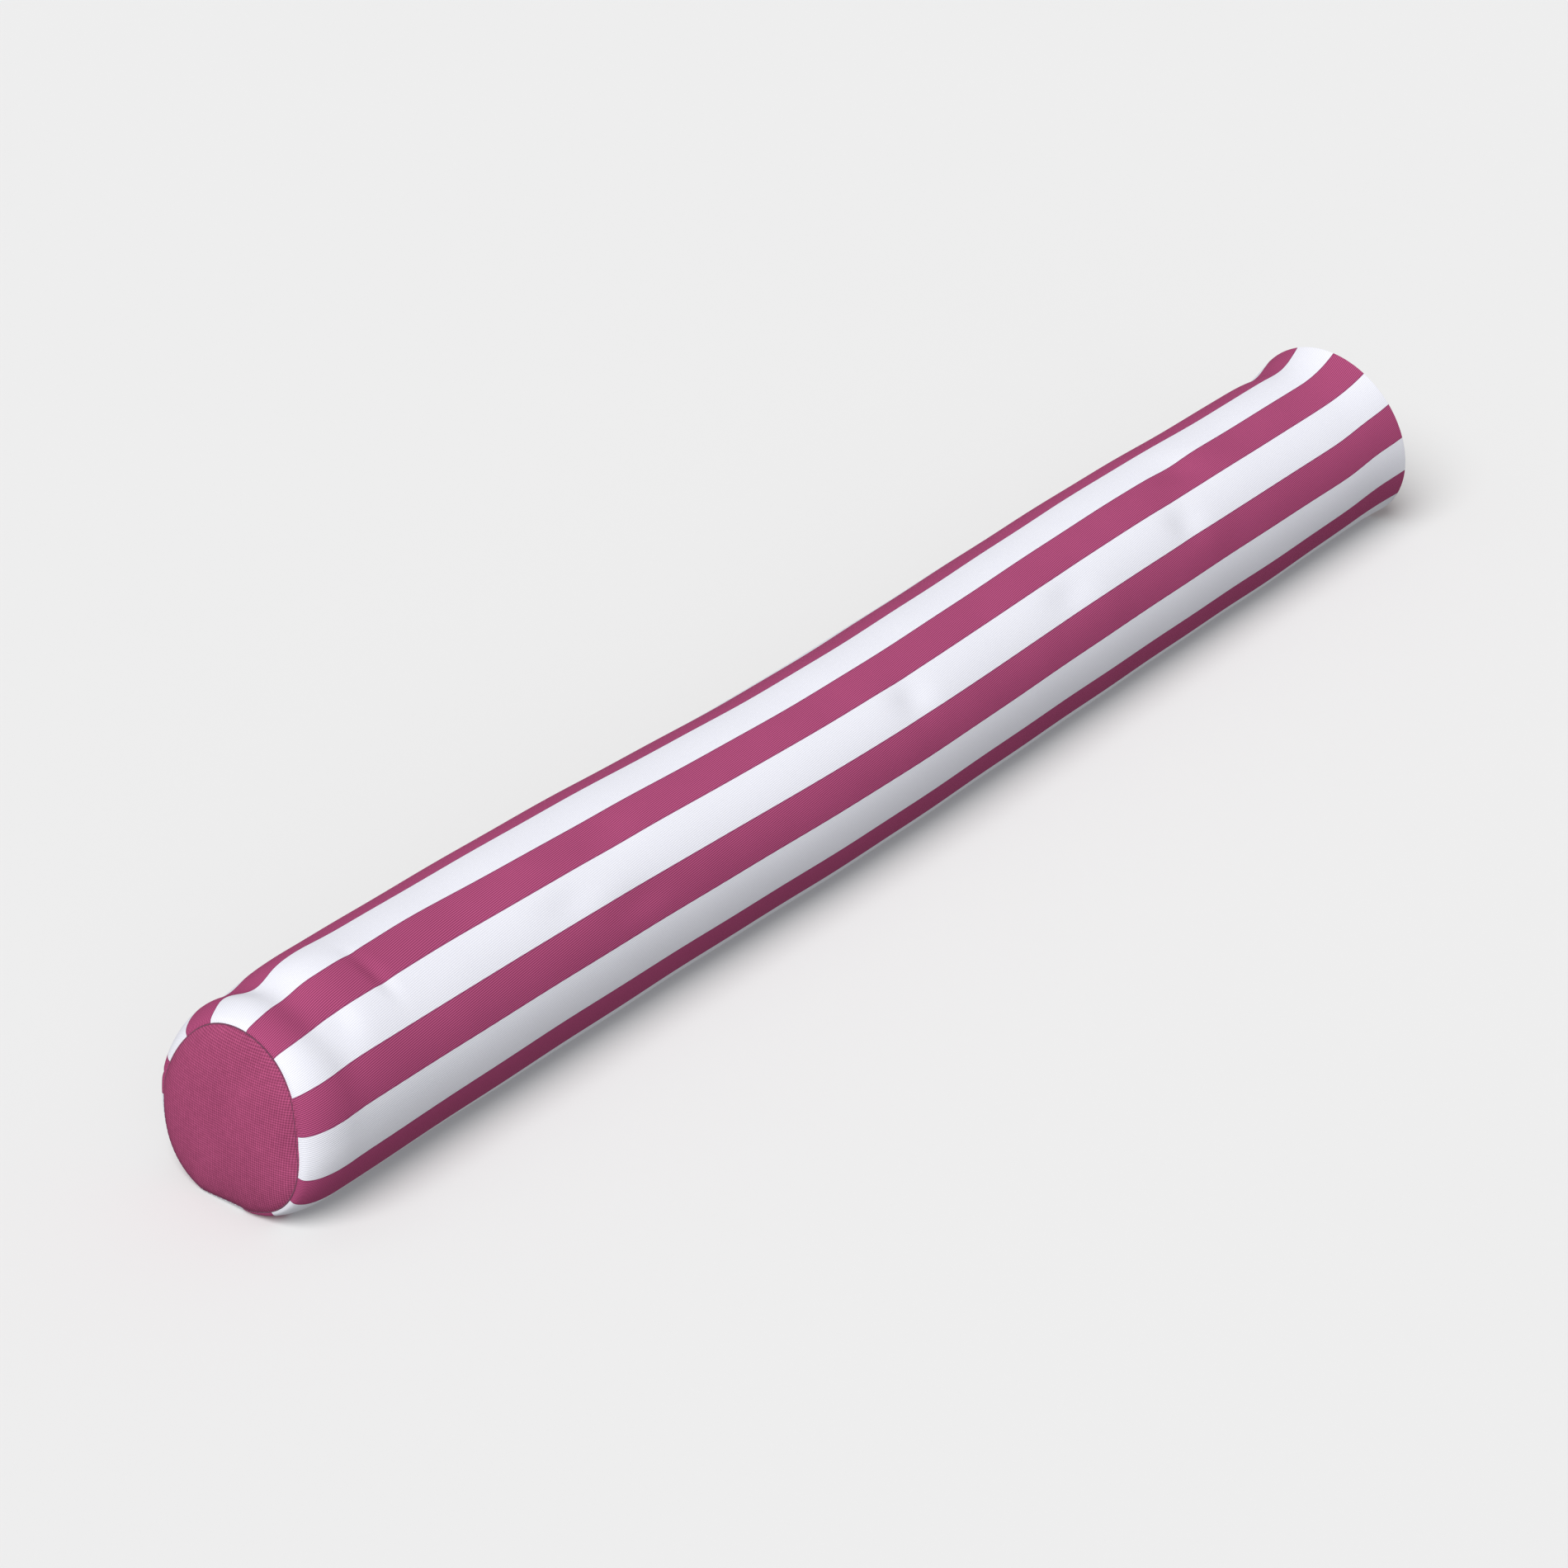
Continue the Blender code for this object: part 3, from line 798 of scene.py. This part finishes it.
class Finish:
    """A Principled material with short calls for its pattern nodes."""

    def __init__(self, name, roughness, **sockets):
        self.material = bpy.data.materials.new(name)
        self.material.use_nodes = True
        self.tree = self.material.node_tree
        self.shader = self.tree.nodes["Principled BSDF"]
        self.shader.inputs["Roughness"].default_value = roughness
        for socket, value in sockets.items():
            self.shader.inputs[socket.replace("_", " ")].default_value = value

    def put(self, socket, value):
        """Link a socket to another one, or set its value."""
        if isinstance(value, bpy.types.NodeSocket):
            self.tree.links.new(value, socket)
        else:
            socket.default_value = value

    def node(self, kind, *values, **settings):
        """A node with its first inputs linked or set."""
        made = self.tree.nodes.new(kind)
        for key, value in settings.items():
            setattr(made, key, value)
        for socket, value in zip(made.inputs, values):
            if value is not None:
                self.put(socket, value)
        return made

    def calc(self, operation, *values):
        return self.node("ShaderNodeMath", *values, operation=operation).outputs[0]

    def wave(self, place, pitch, shift=0.0):
        """A sine from 0 to 1 along a place in metres."""
        turns = self.calc("MULTIPLY_ADD", place, 2 * math.pi / pitch, shift)
        return self.calc("MULTIPLY_ADD", self.calc("SINE", turns), 0.5, 0.5)

    def ramp(self, value, low, high, out_low=0.0, out_high=1.0):
        """Ease from out_low to out_high while the value goes from low to high."""
        made = self.node("ShaderNodeMapRange", value, low, high, out_low, out_high)
        made.interpolation_type = "SMOOTHSTEP"
        return made.outputs[0]

    def mix(self, share, first, second):
        made = self.tree.nodes.new("ShaderNodeMix")
        made.data_type = "RGBA"
        colours = [socket for socket in made.inputs if socket.type == "RGBA"]
        self.put(made.inputs[0], share)
        self.put(colours[0], first)
        self.put(colours[1], second)
        return [socket for socket in made.outputs if socket.type == "RGBA"][0]

    def place(self):
        """Object coordinates, which are metres in the shared frame, as three sockets."""
        coordinates = self.node("ShaderNodeTexCoord").outputs["Object"]
        parts = self.node("ShaderNodeSeparateXYZ", coordinates)
        return coordinates, parts.outputs[0], parts.outputs[1], parts.outputs[2]

    def noise(self, coordinates, size, detail=2.0, stretch=None):
        """Noise from 0 to 1, its features about this many metres across."""
        if stretch:
            stretched = self.node("ShaderNodeVectorMath", coordinates, stretch, operation="MULTIPLY")
            coordinates = stretched.outputs[0]
        made = self.node("ShaderNodeTexNoise")
        self.put(made.inputs["Vector"], coordinates)
        made.inputs["Scale"].default_value = 1 / size
        made.inputs["Detail"].default_value = detail
        return made.outputs[0]

    def colour(self, value):
        self.put(self.shader.inputs["Base Color"], value)

    def rough(self, value, low, high):
        """Let the roughness follow a noise."""
        self.put(self.shader.inputs["Roughness"], self.ramp(value, 0.3, 0.7, low, high))

    def bump(self, height, distance, strength):
        made = self.node("ShaderNodeBump")
        made.inputs["Strength"].default_value = strength
        made.inputs["Distance"].default_value = distance
        self.put(made.inputs["Height"], height)
        self.put(self.shader.inputs["Normal"], made.outputs[0])


MAGENTA = (0.550, 0.106, 0.252, 1.0)
MAGENTA_DARK = (0.140, 0.023, 0.061, 1.0)
EDGE_LINE = (0.150, 0.020, 0.080, 1.0)
WHITE = (0.835, 0.840, 0.890, 1.0)
WHITE_SHADE = (0.645, 0.650, 0.725, 1.0)
PANEL = (0.500, 0.100, 0.226, 1.0)
PANEL_DARK = (0.145, 0.025, 0.061, 1.0)
CALICO = (0.84, 0.82, 0.76, 1.0)
CALICO_SHADE = (0.70, 0.68, 0.61, 1.0)
NICKEL = (0.68, 0.66, 0.63, 1.0)
NICKEL_DULL = (0.54, 0.52, 0.50, 1.0)
WADDING_WHITE = (0.88, 0.88, 0.87, 1.0)
WADDING_SHADE = (0.74, 0.74, 0.73, 1.0)
FOAM = (0.58, 0.63, 0.71, 1.0)
FOAM_SHADE = (0.47, 0.52, 0.60, 1.0)
FLOOR = (0.730, 0.730, 0.730, 1.0)
FLOOR_SHADE = (0.724, 0.724, 0.724, 1.0)
CLOTH_GLOSS = 0.02        # specular level of the cover's cloth, which hardly shines


def striped_cloth():
    """Rib-woven cloth with lengthwise stripes, patterned by the cloth coordinates of the mesh."""
    cloth = Finish("striped_cloth", 0.85, Specular_IOR_Level=CLOTH_GLOSS)
    layer = cloth.node("ShaderNodeUVMap", uv_map="cloth").outputs[0]
    parts = cloth.node("ShaderNodeSeparateXYZ", layer)
    along, around = parts.outputs[0], parts.outputs[1]

    # Place within a pair of stripes, from 0 to 1, and the line along both edges of the magenta one
    step = cloth.calc("FRACT", cloth.calc("MULTIPLY_ADD", around, 1 / PAIR, 1 - FIRST_EDGE / PAIR))
    is_white = cloth.calc("GREATER_THAN", step, MAGENTA_SHARE)
    from_middle = cloth.calc("ABSOLUTE", cloth.calc("SUBTRACT", step, MAGENTA_SHARE))
    from_high = cloth.calc("SUBTRACT", 1.0, step)
    near = cloth.calc("MINIMUM", cloth.calc("MINIMUM", step, from_middle), from_high)
    line = cloth.ramp(near, LINE_FULL / PAIR, LINE_END / PAIR, 1.0, 0.0)
    line = cloth.calc("MULTIPLY", line, cloth.calc("SUBTRACT", 1.0, is_white))

    # Slanting ribs, each a little ahead of the last in its cross threads
    slant = cloth.calc("MULTIPLY_ADD", along, RIB_SLANT, around)
    rib = cloth.wave(slant, RIB_PITCH)
    row = cloth.calc("FLOOR", cloth.calc("MULTIPLY", slant, 1 / RIB_PITCH))
    cross = cloth.wave(cloth.calc("MULTIPLY_ADD", row, RIB_SHIFT, along), CROSS_PITCH)
    weave = cloth.calc("MULTIPLY_ADD", cross, 0.2, cloth.calc("MULTIPLY", rib, 0.8))

    coordinates = cloth.place()[0]
    slow = cloth.noise(coordinates, size=0.05)
    fibre = cloth.noise(coordinates, size=0.0006, detail=3.0)
    shade = cloth.calc("MULTIPLY_ADD", slow, 0.15, cloth.calc("MULTIPLY", weave, 0.85))
    magenta = cloth.mix(shade, MAGENTA_DARK, MAGENTA)
    magenta = cloth.mix(cloth.calc("MULTIPLY", line, 0.5), magenta, EDGE_LINE)
    white = cloth.mix(shade, WHITE_SHADE, WHITE)
    cloth.colour(cloth.mix(is_white, magenta, white))
    cloth.rough(slow, 0.80, 0.92)
    cloth.bump(cloth.calc("MULTIPLY_ADD", fibre, 0.3, weave), distance=0.00012, strength=0.8)
    return cloth.material


def plain_cloth():
    """Plain-woven magenta cloth with uneven threads, patterned across the end panels."""
    cloth = Finish("plain_cloth", 0.85, Specular_IOR_Level=CLOTH_GLOSS)
    coordinates, _, across, up = cloth.place()
    threads = []
    for place, stretch in ((across, (0.0, 1.0, 0.25)), (up, (0.0, 0.25, 1.0))):
        slub = cloth.noise(coordinates, size=0.0012, detail=1.0, stretch=stretch)
        thread = cloth.wave(place, BASKET_PITCH)
        threads.append(cloth.calc("MULTIPLY", thread, cloth.ramp(slub, 0.3, 0.7, 0.6, 1.0)))
    weave = cloth.calc("MULTIPLY", cloth.calc("ADD", *threads), 0.6)
    slow = cloth.noise(coordinates, size=0.03)
    shade = cloth.calc("MULTIPLY_ADD", slow, 0.3, cloth.calc("MULTIPLY", weave, 0.7))
    cloth.colour(cloth.mix(shade, PANEL_DARK, PANEL))
    cloth.rough(slow, 0.80, 0.92)
    fibre = cloth.noise(coordinates, size=0.0005, detail=3.0)
    cloth.bump(cloth.calc("MULTIPLY_ADD", fibre, 0.3, weave), distance=0.00015, strength=0.8)
    return cloth.material


def woven(name, dark, light, pitch, roughness):
    """A plain weave of even threads, for the zip's tape and the inner case."""
    cloth = Finish(name, roughness, Sheen_Weight=0.1, Specular_IOR_Level=0.25)
    coordinates, along, across, up = cloth.place()
    first = cloth.wave(along, pitch)
    second = cloth.wave(cloth.calc("ADD", across, up), pitch)
    weave = cloth.calc("MULTIPLY", first, second)
    slow = cloth.noise(coordinates, size=0.02)
    shade = cloth.calc("MULTIPLY_ADD", weave, 0.6, cloth.calc("MULTIPLY", slow, 0.4))
    cloth.colour(cloth.mix(shade, dark, light))
    cloth.rough(slow, roughness - 0.05, roughness + 0.05)
    cloth.bump(weave, distance=0.0001, strength=0.7)
    return cloth.material


def thread_finish():
    """Twisted sewing thread."""
    thread = Finish("thread", 0.7, Sheen_Weight=0.2)
    _, along, across, up = thread.place()
    slant = thread.calc("ADD", thread.calc("ADD", along, across), up)
    twine = thread.wave(slant, TWINE_PITCH)
    thread.colour(thread.mix(twine, EDGE_LINE, MAGENTA_DARK))
    thread.rough(twine, 0.6, 0.8)
    thread.bump(twine, distance=0.0001, strength=0.6)
    return thread.material


def nylon_finish():
    """Satin nylon, for the zip's teeth."""
    nylon = Finish("zip_coil", 0.4, Coat_Weight=0.1)
    coordinates = nylon.place()[0]
    grain = nylon.noise(coordinates, size=0.002)
    nylon.colour(nylon.mix(grain, MAGENTA_DARK, MAGENTA))
    nylon.rough(grain, 0.35, 0.5)
    nylon.bump(nylon.noise(coordinates, size=0.0004), distance=0.00003, strength=0.4)
    return nylon.material


def nickel_finish():
    """Plated metal with fine scratches along it."""
    nickel = Finish("nickel", 0.3, Metallic=1.0)
    coordinates = nickel.place()[0]
    scratch = nickel.noise(coordinates, size=0.0006, detail=4.0, stretch=(0.15, 1.0, 1.0))
    cloud = nickel.noise(coordinates, size=0.006)
    nickel.colour(nickel.mix(cloud, NICKEL_DULL, NICKEL))
    nickel.rough(scratch, 0.22, 0.42)
    nickel.bump(scratch, distance=0.00002, strength=0.3)
    return nickel.material


def wadding_finish():
    """Polyester wadding: white, with loose fibres."""
    wadding = Finish("wadding", 1.0, Sheen_Weight=0.3)
    coordinates = wadding.place()[0]
    fluff = wadding.noise(coordinates, size=0.004, detail=6.0)
    strand = wadding.noise(coordinates, size=0.0008, detail=4.0)
    wadding.colour(wadding.mix(fluff, WADDING_SHADE, WADDING_WHITE))
    wadding.rough(fluff, 0.9, 1.0)
    wadding.bump(wadding.calc("MULTIPLY_ADD", strand, 0.5, fluff), distance=0.001, strength=0.8)
    return wadding.material


def foam_finish():
    """Closed-cell foam with fine pores."""
    foam = Finish("foam", 0.85)
    coordinates = foam.place()[0]
    cells = foam.node("ShaderNodeTexVoronoi")
    foam.put(cells.inputs["Vector"], coordinates)
    cells.inputs["Scale"].default_value = FOAM_PORES
    slow = foam.noise(coordinates, size=0.03)
    foam.colour(foam.mix(slow, FOAM_SHADE, FOAM))
    foam.rough(slow, 0.8, 0.9)
    foam.bump(cells.outputs["Distance"], distance=0.0003, strength=0.6)
    return foam.material


def floor_finish():
    """A plain pale floor, very slightly uneven in tone."""
    floor = Finish("floor", 0.9, Specular_IOR_Level=0.0)
    tone = floor.noise(floor.place()[0], size=0.4)
    floor.colour(floor.mix(tone, FLOOR_SHADE, FLOOR))
    return floor.material


# ---------------------------------------------------------------- stage, lights and camera

def add_floor():
    """The floor bounces no light up, so that the underside is as dark as in the photograph."""
    mesh = bpy.data.meshes.new("floor")
    size = FLOOR_SIZE
    corners = [(-size, -size, 0.0), (size, -size, 0.0), (size, size, 0.0), (-size, size, 0.0)]
    mesh.from_pydata(corners, [], [(0, 1, 2, 3)])
    mesh.materials.append(floor_finish())
    floor = bpy.data.objects.new("floor", mesh)
    floor.location.z = -FLOOR_DROP
    floor.visible_diffuse = False
    bpy.context.scene.collection.objects.link(floor)


def add_sun(name, energy, towards):
    sun = bpy.data.lights.new(name, "SUN")
    sun.energy = energy
    sun.angle = SUN_SPREAD
    lamp = bpy.data.objects.new(name, sun)
    lamp.rotation_mode = "QUATERNION"
    lamp.rotation_quaternion = Vector(towards).to_track_quat("Z", "Y")
    bpy.context.scene.collection.objects.link(lamp)


def add_light():
    """A broad soft key from above the left end, a weak low fill and an even surround."""
    add_sun("key", *KEY)
    add_sun("fill", *FILL)
    world = bpy.data.worlds.new("surround")
    world.use_nodes = True
    background = world.node_tree.nodes["Background"]
    background.inputs["Color"].default_value = (1.0, 1.0, 1.0, 1.0)
    background.inputs["Strength"].default_value = SURROUND
    bpy.context.scene.world = world
    bpy.context.scene.view_settings.view_transform = "Standard"


def add_camera():
    camera = bpy.data.cameras.new("camera")
    camera.lens = LENS
    camera.sensor_width = SENSOR
    camera.clip_end = CLIP_END
    seat = bpy.data.objects.new("camera", camera)
    flat = math.cos(ELEVATION)
    back = Vector((math.sin(AZIMUTH) * flat, -math.cos(AZIMUTH) * flat, math.sin(ELEVATION)))
    seat.location = TARGET + back * DISTANCE
    seat.rotation_mode = "QUATERNION"
    seat.rotation_quaternion = back.to_track_quat("Z", "Y")
    bpy.context.scene.collection.objects.link(seat)
    bpy.context.scene.camera = seat


def settle_on(piece, node, body="roller"):
    """Let a piece ride on a body and stand for a CAD node, whose own piece is hidden."""
    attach(piece, body)
    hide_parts(node)


def build_filling(calico, wadding, foam):
    half = CAD_BOX[1].x - END_DEPTH - CASE_CLOTH - GAP
    tube = inner_layer("case_tube", half, CASE_DEPTH, CASE_CLOTH, calico)
    settle_on(tube, "inner_case_tube")
    wrap = inner_layer("wadding_sleeve", half, WADDING_DEPTH, WADDING, wadding)
    settle_on(wrap, "wadding_wrap")
    bar = inner_bar("foam_bar", half, FOAM_DEPTH, foam)
    settle_on(bar, "foam_core")


def build_end(word, side, plain, thread, calico, wadding):
    panel = end_panel("plain_end_" + word, side, plain)
    settle_on(panel, "end_panel_" + word)
    seam = end_stitches("end_stitches_" + word, side, thread)
    settle_on(seam, "end_seam_thread_" + word)
    pad = end_pad("pad_" + word, side, wadding)
    settle_on(pad, "end_pad_" + word)
    disc = case_end("case_end_" + word, side, calico)
    settle_on(disc, "inner_case_end_" + word)


def build_zip(tape, thread, nylon, nickel):
    for word, side in (("upper", 1), ("lower", -1)):
        settle_on(zip_coil("zip_coil_" + word, side, nylon), "zip_teeth_" + word)
        settle_on(zip_stitches("zip_stitches_" + word, side, thread), "zip_stitching_" + word)
        bpy.data.objects["zip_tape_" + word].data.materials[0] = tape
        stop = metal_piece("top_stop_" + word, "zip_top_stop_" + word, nickel)
        settle_on(stop, "zip_top_stop_" + word)
    settle_on(metal_piece("bottom_stop", "zip_bottom_stop", nickel), "zip_bottom_stop")
    settle_on(metal_piece("slider_body", "zip_slider", nickel), "zip_slider", body="slider")
    settle_on(metal_piece("pull_tab", "zip_pull", nickel), "zip_pull", body="pull")


def build_cover(striped):
    cover = cover_mesh(striped)
    fold_slot(cover)
    face_outwards(cover)
    subdivide(cover)
    settle_on(cover, "cover_tube")


def build():
    add_floor()
    add_light()
    add_camera()
    thread = thread_finish()
    nickel = nickel_finish()
    calico = woven("calico", CALICO_SHADE, CALICO, CALICO_PITCH, 0.9)
    tape = woven("zip_tape", EDGE_LINE, MAGENTA_DARK, TAPE_PITCH, 0.8)
    wadding = wadding_finish()
    build_cover(striped_cloth())
    build_filling(calico, wadding, foam_finish())
    plain = plain_cloth()
    for word, side in (("left", -1), ("right", 1)):
        build_end(word, side, plain, thread, calico, wadding)
    build_zip(tape, thread, nylon_finish(), nickel)


build()
